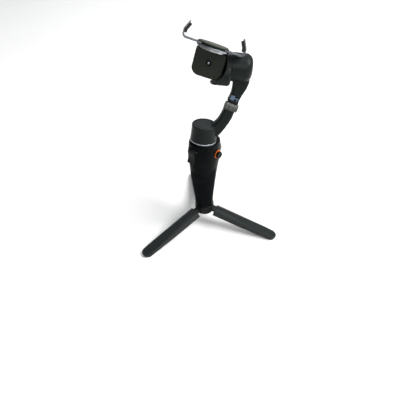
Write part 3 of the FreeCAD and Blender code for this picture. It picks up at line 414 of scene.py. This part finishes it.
def finish_for(name, sizes, colours):
    """The named finish, made once."""
    edge = sizes.edge
    recipes = {
        # the second colour of each moulded finish goes on upward faces: painted light from above, with dust
        "arm_plastic": lambda: moulded(name, colours.shell, colours.shell_top_light_and_dust, edge),
        "motor_plastic": lambda: moulded(name, colours.shell, colours.shell_top_light_and_dust, edge, 0.34),
        "head_plastic": lambda: moulded(name, colours.head, shaded(colours.head, 1.5), edge, 0.5),
        "leg_plastic": lambda: moulded(name, colours.leg, shaded(colours.shell_top_light_and_dust, 0.95), edge, 0.34, 0.2),
        "hub_plastic": lambda: moulded(name, shaded(colours.leg, 0.6), shaded(colours.leg, 1.3), edge, 0.45),
        "button_plastic": lambda: moulded(name, shaded(colours.shell, 0.9), colours.shell, edge, 0.4),
        "handle_gloss": lambda: polished(name, colours.handle, edge, 0.26),
        "panel_gloss": lambda: polished(name, shaded(colours.handle, 1.3), edge, 0.16, 0.15),
        "wheel_gloss": lambda: polished(name, shaded(colours.handle, 1.5), edge, 0.3, 0.12),
        "grip_rubber": lambda: sleeve(name, colours.grip, edge),
        "stick_rubber": lambda: sleeve(name, shaded(colours.grip, 1.4), edge),
        "pad_rubber": lambda: rubber(name, colours.rubber, edge),
        "tip_rubber": lambda: rubber(name, shaded(colours.rubber, 0.28), edge),
        "foot_rubber": lambda: rubber(name, shaded(colours.rubber, 0.25), edge, (1, 1, 2)),
        "hinge_paint": lambda: metal(name, colours.warm, edge, 0.42, painted=True),
        "bright_trim": lambda: metal(name, shaded(colours.silver, 0.72), edge, 0.22, (1, 1, 12)),
        "strip_steel": lambda: metal(name, shaded(colours.silver, 0.34), edge, 0.3, (0.2, 0.2, 1)),
        "tube_metal": lambda: metal(name, colours.silver, edge, 0.25, (6, 6, 0.3)),
        "plain_steel": lambda: metal(name, colours.steel, edge, 0.3),
        "dark_steel": lambda: metal(name, shaded(colours.steel, 0.25), edge, 0.35),
        "latch_steel": lambda: metal(name, colours.latch, edge, 0.3, (1, 1, 5)),
        "brass": lambda: metal(name, colours.brass, edge, 0.25, (1, 1, 9)),
        "copper_wire": lambda: winding(name, colours.copper, edge),
        "orange_ring": lambda: moulded(name, colours.orange, colours.orange, edge, 0.35, 0.3),
        "record_red": lambda: moulded(name, colours.red, shaded(colours.red, 1.15), edge, 0.35, 0.3),
        "circuit_board": lambda: circuit(name, colours.board, edge),
        "battery_wrap": lambda: wrapped(name, colours.wrap, edge),
        "smoked_window": lambda: smoked(name, edge),
        "status_light": lambda: lamp_lens(name, colours.light),
        "pale_paper": lambda: floor_paint(name),
    }
    if name not in MADE:
        MADE[name] = recipes[name]()
    return MADE[name]


def paint(material, *nodes):
    """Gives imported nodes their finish."""
    for name in nodes:
        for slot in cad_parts[name].material_slots:
            slot.material = material


# ---- shapes --------------------------------------------------------------------------
def add_object(name, mesh, material, body=None, smooth=35.0):
    """A finished piece with its place in its mesh."""
    mesh.name = name
    mesh.materials.clear()
    mesh.materials.append(material)
    mesh.shade_smooth()
    mesh.set_sharp_from_angle(angle=math.radians(smooth))
    made = bpy.data.objects.new(name, mesh)
    bpy.context.scene.collection.objects.link(made)
    if body:
        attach(made, body)
    return made


def from_bmesh(shape):
    bmesh.ops.remove_doubles(shape, verts=shape.verts, dist=1e-7)
    bmesh.ops.recalc_face_normals(shape, faces=shape.faces)
    mesh = bpy.data.meshes.new("piece")
    shape.to_mesh(mesh)
    shape.free()
    return mesh


def lathe(profile, place, steps=64):
    """Closed turned mesh from (radius, height) in millimetres, first and last on the axis."""
    shape = bmesh.new()
    rings = []
    for radius, height in profile:
        if radius < 1e-6:
            rings.append([shape.verts.new((0, 0, height * MM))])
            continue
        angles = (2 * math.pi * i / steps for i in range(steps))
        rings.append([shape.verts.new((radius * MM * math.cos(a), radius * MM * math.sin(a), height * MM))
                      for a in angles])
    for low, high in zip(rings, rings[1:]):
        for i in range(steps):
            j = (i + 1) % steps
            corners = [low[i % len(low)], low[j % len(low)], high[j % len(high)], high[i % len(high)]]
            corners = list(dict.fromkeys(corners))
            if len(corners) > 2:
                shape.faces.new(corners)
    mesh = from_bmesh(shape)
    mesh.transform(place)
    return mesh


# ---- repeated features ---------------------------------------------------------------
class Pattern:
    """A geometry node tree being laid out, with named inputs for its sizes."""

    def __init__(self, name):
        self.tree = bpy.data.node_groups.new(name, "GeometryNodeTree")
        self.tree.interface.new_socket("Geometry", in_out="OUTPUT", socket_type="NodeSocketGeometry")
        self.names = {}
        self.entry = self.tree.nodes.new("NodeGroupInput")

    def size(self, name, kind="Float"):
        """A named input, and the socket that gives it inside the tree."""
        made = self.tree.interface.new_socket(name, in_out="INPUT", socket_type="NodeSocket" + kind)
        self.names[name] = made.identifier
        return self.entry.outputs[name]

    def node(self, kind, settings=None, values=None, output=0):
        made = self.tree.nodes.new(kind)
        for key, value in (settings or {}).items():
            setattr(made, key, value)
        for key, value in (values or {}).items():
            if isinstance(value, bpy.types.NodeSocket):
                self.tree.links.new(value, made.inputs[key])
            else:
                made.inputs[key].default_value = value
        return made.outputs[output]

    def close(self, geometry):
        """Ends the tree in real, finished geometry."""
        real = self.node("GeometryNodeRealizeInstances", None, {0: geometry})
        real = self.node("GeometryNodeSetMaterial", None,
                         {"Geometry": real, "Material": self.size("Material", "Material")})
        end = self.tree.nodes.new("NodeGroupOutput")
        self.tree.links.new(real, end.inputs[0])
        return self

    def grow(self, values, spots=()):
        """The tree's result for these sizes and points, as a plain mesh."""
        start = bpy.data.meshes.new("pattern")
        start.from_pydata(spots, [], [])
        holder = bpy.data.objects.new("pattern", start)
        bpy.context.scene.collection.objects.link(holder)
        modifier = holder.modifiers.new("pattern", "NODES")
        modifier.node_group = self.tree
        for name, value in values.items():
            modifier[self.names[name]] = value
        holder.update_tag()
        bpy.context.view_layer.update()
        seen = holder.evaluated_get(bpy.context.evaluated_depsgraph_get())
        mesh = bpy.data.meshes.new_from_object(seen)
        holder.modifiers.remove(modifier)
        bpy.data.objects.remove(holder)
        return mesh


def rounded_bar(pattern, radius, reach):
    """Bar along Z with domed ends."""
    half = pattern.node("ShaderNodeMath", {"operation": "MULTIPLY"}, {0: reach, 1: 0.5})
    lower = pattern.node("ShaderNodeMath", {"operation": "MULTIPLY"}, {0: half, 1: -1.0})
    start = pattern.node("ShaderNodeCombineXYZ", None, {"Z": lower})
    end = pattern.node("ShaderNodeCombineXYZ", None, {"Z": half})
    line = pattern.node("GeometryNodeCurvePrimitiveLine", None, {"Start": start, "End": end})
    line = pattern.node("GeometryNodeResampleCurve", None, {"Curve": line, "Count": 7})
    along = pattern.node("GeometryNodeSplineParameter")
    shape = pattern.node("ShaderNodeFloatCurve", None, {"Value": along})
    curve = shape.node.mapping.curves[0]
    curve.points[0].location, curve.points[1].location = (0.0, 0.25), (1.0, 0.25)
    for x, y in ((0.04, 0.7), (0.12, 1.0), (0.88, 1.0), (0.96, 0.7)):
        curve.points.new(x, y)
    shape.node.mapping.update()
    section = pattern.node("GeometryNodeCurvePrimitiveCircle", None, {"Resolution": 8, "Radius": radius})
    return pattern.node("GeometryNodeCurveToMesh", None,
                        {"Curve": line, "Profile Curve": section, "Scale": shape, "Fill Caps": True})


def ring_pattern():
    """Bars standing side by side round a circle."""
    p = Pattern("ring_of_ribs")
    circle = p.node("GeometryNodeCurvePrimitiveCircle", None, {"Resolution": 96, "Radius": p.size("Radius")})
    points = p.node("GeometryNodeCurveToPoints", None, {"Curve": circle, "Count": p.size("Count", "Int")})
    bar = rounded_bar(p, p.size("Rib Radius"), p.size("Rib Length"))
    return p.close(p.node("GeometryNodeInstanceOnPoints", None, {"Points": points, "Instance": bar}))


def spot_pattern():
    """Bars standing along Z at given points."""
    p = Pattern("bars_at_spots")
    spots = p.size("Spots", "Geometry")
    bar = rounded_bar(p, p.size("Rib Radius"), p.size("Rib Length"))
    return p.close(p.node("GeometryNodeInstanceOnPoints", None, {"Points": spots, "Instance": bar}))


def screw_pattern():
    """Domed screw heads with a round socket, standing on given points."""
    p = Pattern("screw_heads")
    spots = p.size("Spots", "Geometry")
    radius, height = p.size("Head Radius"), p.size("Head Height")
    solid = p.node("GeometryNodeMeshCircle", {"fill_type": "NGON"}, {"Vertices": 24, "Radius": radius})
    chosen = {}
    for rise, shrink in ((0.7, 1.0), (0.3, 0.86), (0.0, 0.52), (-0.6, 0.92)):
        offset = p.node("ShaderNodeMath", {"operation": "MULTIPLY"}, {0: height, 1: rise})
        offset = p.node("ShaderNodeCombineXYZ", None, {"Z": offset})
        solid = p.node("GeometryNodeExtrudeMesh", {"mode": "FACES"},
                       {"Mesh": solid, "Offset": offset, **chosen})
        chosen = {"Selection": solid.node.outputs["Top"]}
        solid = p.node("GeometryNodeScaleElements", {"domain": "FACE"},
                       {"Geometry": solid, "Scale": shrink, **chosen})
    return p.close(p.node("GeometryNodeInstanceOnPoints", None, {"Points": spots, "Instance": solid}))


# ---- pieces --------------------------------------------------------------------------
def chosen_settings(context):
    """The sizes and colours of the scene."""
    return context.scene.gimbal_sizes, context.scene.gimbal_colours


class GIMBAL_OT_stage(bpy.types.Operator):
    """Camera, floor and studio light"""
    bl_idname = "gimbal.stage"
    bl_label = "Stage"

    def execute(self, context):
        sizes, colours = chosen_settings(context)
        scene = context.scene
        scene.view_settings.view_transform = "Standard"
        camera = bpy.data.objects.new("camera", bpy.data.cameras.new("camera"))
        scene.collection.objects.link(camera)
        camera.location = CAMERA_PLACE
        camera.rotation_euler = CAMERA_TURN
        camera.data.angle = CAMERA_ANGLE
        camera.data.clip_start = 0.01
        scene.camera = camera
        half = sizes.floor
        floor = bpy.data.meshes.new("floor")
        corners = [(-half, -half, 0), (half, -half, 0), (half, half, 0), (-half, half, 0)]
        floor.from_pydata(corners, [], [(0, 1, 2, 3)])
        add_object("floor", floor, finish_for("pale_paper", sizes, colours))
        world = bpy.data.worlds.new("studio")
        world.use_nodes = True
        back = world.node_tree.nodes["Background"]
        back.inputs["Color"].default_value = (0.97, 0.985, 1.0, 1.0)
        back.inputs["Strength"].default_value = sizes.sky
        scene.world = world
        lamps = (("key_lamp", (1.5, 1.1, 2.3), 1.8, sizes.key, (1.0, 0.995, 0.98)),
                 ("fill_lamp", (1.6, -1.2, 1.5), 1.2, sizes.fill, (1.0, 1.0, 1.0)),
                 ("back_lamp", (-1.5, 1.3, 1.9), 1.2, sizes.fill, (0.97, 0.99, 1.0)))
        for name, spot, width, power, tint in lamps:
            lamp = bpy.data.lights.new(name, "AREA")
            lamp.shape, lamp.size, lamp.energy, lamp.color = "SQUARE", width, power, tint
            holder = bpy.data.objects.new(name, lamp)
            holder.location = spot
            aim = LAMP_AIM - Vector(spot)
            holder.rotation_euler = aim.to_track_quat("-Z", "Y").to_euler()
            scene.collection.objects.link(holder)
        return {"FINISHED"}


class GIMBAL_OT_stand(bpy.types.Operator):
    """Three folding legs, their hub and rubber feet"""
    bl_idname = "gimbal.stand"
    bl_label = "Table stand"

    def execute(self, context):
        sizes, colours = chosen_settings(context)
        paint(finish_for("leg_plastic", sizes, colours), "leg_1", "leg_2", "leg_3")
        paint(finish_for("hub_plastic", sizes, colours), "tripod_hub")
        paint(finish_for("plain_steel", sizes, colours), "leg_pins", "tripod_stud")
        paint(finish_for("foot_rubber", sizes, colours), "leg_pad_1", "leg_pad_2", "leg_pad_3")
        return {"FINISHED"}


class GIMBAL_OT_handle(bpy.types.Operator):
    """Polished shells of the handle, screws, charging socket and what is inside"""
    bl_idname = "gimbal.handle"
    bl_label = "Handle"

    def execute(self, context):
        sizes, colours = chosen_settings(context)
        paint(finish_for("handle_gloss", sizes, colours), "handle_front", "handle_rear")
        paint(finish_for("dark_steel", sizes, colours), "usb_port", "trigger_pin", "rod_guide")
        paint(finish_for("brass", sizes, colours), "thread_insert")
        paint(finish_for("circuit_board", sizes, colours), "main_board")
        paint(finish_for("battery_wrap", sizes, colours), "battery_pack")
        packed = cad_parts["handle_screws"].data
        spots = []
        for height in SCREW_HEIGHTS:
            z = (FOOT_Z + height) * MM
            face = max(v.co.y for v in packed.vertices if abs(v.co.z - z) < 0.004)
            spots.append((0.0, -z, face - SCREW_SUNK))
        steel = finish_for("dark_steel", sizes, colours)
        mesh = screw_pattern().grow({"Head Radius": sizes.screw_head, "Head Height": SCREW_HEIGHT,
                                     "Material": steel}, spots)
        mesh.transform(Matrix.Rotation(math.radians(-90), 4, "X"))
        screws = add_object("shell_screws", mesh, steel, "handle")
        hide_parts("handle_screws")
        return {"FINISHED"}


class GIMBAL_OT_grip(bpy.types.Operator):
    """Pebbled rubber sleeve of the grip"""
    bl_idname = "gimbal.grip"
    bl_label = "Grip sleeve"

    def execute(self, context):
        sizes, colours = chosen_settings(context)
        paint(finish_for("grip_rubber", sizes, colours), "grip_skin")
        return {"FINISHED"}


class GIMBAL_OT_trigger(bpy.types.Operator):
    """Finger trigger"""
    bl_idname = "gimbal.trigger"
    bl_label = "Trigger"

    def execute(self, context):
        sizes, colours = chosen_settings(context)
        paint(finish_for("button_plastic", sizes, colours), "trigger")
        return {"FINISHED"}


class GIMBAL_OT_wheel(bpy.types.Operator):
    """Ribbed focus wheel with its orange ring"""
    bl_idname = "gimbal.wheel"
    bl_label = "Focus wheel"

    def execute(self, context):
        sizes, colours = chosen_settings(context)
        paint(finish_for("orange_ring", sizes, colours), "wheel_ring")
        low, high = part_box("side_wheel")
        middle = (low + high) / 2
        radius = (high.z - low.z) / 2 / MM
        total = (high.x - low.x) / MM
        disc = total - WHEEL_STEM
        seat = Vector((low.x / MM + WHEEL_STEM, middle.y / MM, middle.z / MM))
        place = placing(seat, Vector((0, 1, 0)), Vector((1, 0, 0)))
        profile = [(0, -WHEEL_STEM), (1.9, -WHEEL_STEM), (2.0, 0.1 - WHEEL_STEM), (2.0, 0.0),
                   (radius - 1.1, 0.0), (radius - 0.45, 0.35), (radius - 0.33, 0.8),
                   (radius - 0.33, disc - 0.9), (radius - 0.5, disc - 0.35), (radius - 1.0, disc - 0.05),
                   (radius - 1.6, disc), (radius - 2.1, disc - 0.25), (radius - 2.5, disc - 0.6),
                   (1.2, disc - 0.7), (0, disc - 0.72)]
        gloss = finish_for("wheel_gloss", sizes, colours)
        wheel = add_object("focus_wheel", lathe(profile, place), gloss, "side_wheel", 50.0)
        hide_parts("side_wheel")
        ribs = ring_pattern().grow({"Radius": (radius - 0.34) * MM, "Count": sizes.wheel_ribs,
                                    "Rib Radius": sizes.wheel_rib, "Rib Length": (disc - 1.1) * MM,
                                    "Material": gloss})
        ribs.transform(place @ Matrix.Translation((0, 0, disc / 2 * MM)))
        add_object("focus_wheel_ribs", ribs, gloss, "side_wheel", 60.0)
        return {"FINISHED"}


class GIMBAL_OT_panel(bpy.types.Operator):
    """Control panel with its stick, buttons, window and lights"""
    bl_idname = "gimbal.panel"
    bl_label = "Control panel"

    def execute(self, context):
        sizes, colours = chosen_settings(context)
        paint(finish_for("panel_gloss", sizes, colours), "control_panel", "joystick_ring")
        paint(finish_for("stick_rubber", sizes, colours), "joystick")
        paint(finish_for("plain_steel", sizes, colours), "joystick_yoke")
        paint(finish_for("button_plastic", sizes, colours), "mode_button", "switch_button")
        paint(finish_for("record_red", sizes, colours), "record_button")
        paint(finish_for("smoked_window", sizes, colours), "status_window")
        lens = finish_for("status_light", sizes, colours)
        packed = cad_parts["status_window"].data
        low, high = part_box("status_window")
        spots = []
        for number in range(sizes.lights):
            x = low.x + (high.x - low.x) * (number + 1.0) / (sizes.lights + 1.0)
            face = max(v.co.y for v in packed.vertices if abs(v.co.x - x) < 0.0012)
            spots.append((x, face - LIGHT_SUNK, (low.z + high.z) / 2))
        bars = spot_pattern().grow({"Rib Radius": LIGHT_RADIUS, "Rib Length": LIGHT_LENGTH,
                                    "Material": lens}, spots)
        add_object("status_lights", bars, lens, "handle", 60.0)
        steel = finish_for("plain_steel", sizes, colours)
        for button, shifts in (("mode_button", (-1.1, 0.0, 1.1)), ("switch_button", (-0.6, 0.6))):
            low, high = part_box(button)
            middle = (low + high) / 2
            spots = [(middle.x + shift * MM, high.y - MARK_SUNK, middle.z) for shift in shifts]
            bars = spot_pattern().grow({"Rib Radius": MARK_RADIUS, "Rib Length": MARK_LENGTH,
                                        "Material": steel}, spots)
            add_object(button + "_marks", bars, steel, button, 60.0)
        return {"FINISHED"}


class GIMBAL_OT_rod(bpy.types.Operator):
    """Telescopic tubes of the extension rod"""
    bl_idname = "gimbal.rod"
    bl_label = "Extension rod"

    def execute(self, context):
        sizes, colours = chosen_settings(context)
        paint(finish_for("tube_metal", sizes, colours), "rod_stage_1", "rod_stage_2", "rod_stage_3")
        return {"FINISHED"}


class GIMBAL_OT_motors(bpy.types.Operator):
    """Pan, roll and tilt motors"""
    bl_idname = "gimbal.motors"
    bl_label = "Motors"

    def execute(self, context):
        sizes, colours = chosen_settings(context)
        paint(finish_for("motor_plastic", sizes, colours), "pan_housing", "roll_housing", "pan_base")
        paint(finish_for("bright_trim", sizes, colours), "pan_ring")
        paint(finish_for("copper_wire", sizes, colours), "pan_coil", "roll_coil", "tilt_coil")
        paint(finish_for("plain_steel", sizes, colours), "pan_bearing", "roll_bearing", "tilt_bearing")
        return {"FINISHED"}


class GIMBAL_OT_arm(bpy.types.Operator):
    """Folding arm, its hinge and the latch"""
    bl_idname = "gimbal.arm"
    bl_label = "Folding arm"

    def execute(self, context):
        sizes, colours = chosen_settings(context)
        paint(finish_for("arm_plastic", sizes, colours), "lower_arm", "upper_arm", "tilt_bracket")
        paint(finish_for("hinge_paint", sizes, colours), "hinge_barrel", "hinge_knuckle")
        paint(finish_for("plain_steel", sizes, colours), "hinge_pin")
        paint(finish_for("latch_steel", sizes, colours), "latch_plate")
        return {"FINISHED"}


class GIMBAL_OT_head(bpy.types.Operator):
    """Tilt housing with its round cap and the clamp's mount"""
    bl_idname = "gimbal.head"
    bl_label = "Tilt head"

    def execute(self, context):
        sizes, colours = chosen_settings(context)
        paint(finish_for("head_plastic", sizes, colours), "tilt_housing")
        paint(finish_for("plain_steel", sizes, colours), "mount_plate")
        front, radius = HEAD_FRONT, CAP_RADIUS
        rim = [(0, front - 1.5), (radius - 0.08, front - 1.5), (radius - 0.05, front + 0.2),
               (radius - 0.15, front + 0.42), (radius - 0.4, front + 0.5), (radius - 0.7, front + 0.4),
               (radius - 0.95, front), (radius - 1.2, front - 0.7), (1.6, front - 0.95), (0, front - 1.0)]
        gloss = finish_for("wheel_gloss", sizes, colours)
        ring = add_object("cap_ring", lathe(rim, TILT), gloss, "tilt_head", 40.0)
        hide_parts("tilt_cap")
        button = [(0, front - 1.1), (1.25, front - 1.1), (1.3, front - 0.6), (1.2, front - 0.35),
                  (0.95, front - 0.22), (0.5, front - 0.18), (0, front - 0.17)]
        bright = finish_for("bright_trim", sizes, colours)
        add_object("cap_centre", lathe(button, TILT, 48), bright, "tilt_head", 50.0)
        return {"FINISHED"}


class GIMBAL_OT_clamp(bpy.types.Operator):
    """Phone clamp: pad, edge, sprung arms and ribbed rubber tips"""
    bl_idname = "gimbal.clamp"
    bl_label = "Phone clamp"

    def execute(self, context):
        sizes, colours = chosen_settings(context)
        paint(finish_for("bright_trim", sizes, colours), "clamp_edge")
        paint(finish_for("button_plastic", sizes, colours), "clamp_base")
        paint(finish_for("pad_rubber", sizes, colours), "clamp_pad")
        paint(finish_for("strip_steel", sizes, colours), "clamp_arm_left", "clamp_arm_right")
        dark = finish_for("tip_rubber", sizes, colours)
        paint(dark, "clamp_tip_left", "clamp_tip_right")
        along = Vector((-math.sin(HOOK_LEAN), math.cos(HOOK_LEAN), 0))
        inward = Vector((-math.cos(HOOK_LEAN), -math.sin(HOOK_LEAN), 0))
        for side, sign in (("right", 1), ("left", -1)):
            spots = []
            for number in range(sizes.tip_ribs):
                run = TIP_RIB_START + TIP_RIB_RUN * number / (sizes.tip_ribs - 1)
                spot = TIP_START + along * run + inward * TIP_RIB_OUT
                spots.append((spot.x * sign * MM, spot.y * MM, spot.z * MM))
            ribs = spot_pattern().grow({"Rib Radius": sizes.tip_rib, "Rib Length": TIP_RIB_LENGTH,
                                        "Material": dark}, spots)
            ribs.transform(TILT)
            add_object("tip_ribs_" + side, ribs, dark, "clamp_" + side, 60.0)
        return {"FINISHED"}


STEPS = (GIMBAL_OT_stage, GIMBAL_OT_stand, GIMBAL_OT_handle, GIMBAL_OT_grip, GIMBAL_OT_trigger,
         GIMBAL_OT_wheel, GIMBAL_OT_panel, GIMBAL_OT_rod, GIMBAL_OT_motors, GIMBAL_OT_arm, GIMBAL_OT_head,
         GIMBAL_OT_clamp)


class GIMBAL_PT_panel(bpy.types.Panel):
    """Lists the gimbal's settings and steps"""
    bl_idname = "GIMBAL_PT_panel"
    bl_label = "Phone Gimbal"
    bl_space_type = "VIEW_3D"
    bl_region_type = "UI"
    bl_category = "Gimbal"

    def draw(self, context):
        for group in chosen_settings(context):
            box = self.layout.box()
            for name in group.__annotations__:
                box.prop(group, name)
        for step in STEPS:
            self.layout.operator(step.bl_idname)


CLASSES = (GimbalSizes, GimbalColours, *STEPS, GIMBAL_PT_panel)


def register():
    for kind in CLASSES:
        bpy.utils.register_class(kind)
    bpy.types.Scene.gimbal_sizes = PointerProperty(type=GimbalSizes)
    bpy.types.Scene.gimbal_colours = PointerProperty(type=GimbalColours)


def unregister():
    del bpy.types.Scene.gimbal_colours
    del bpy.types.Scene.gimbal_sizes
    for kind in reversed(CLASSES):
        bpy.utils.unregister_class(kind)


def main():
    register()
    for step in STEPS:
        group, name = step.bl_idname.split(".")
        if getattr(getattr(bpy.ops, group), name)() != {"FINISHED"}:
            raise RuntimeError("%s did not finish" % step.bl_label)


if __name__ == "__main__":
    main()
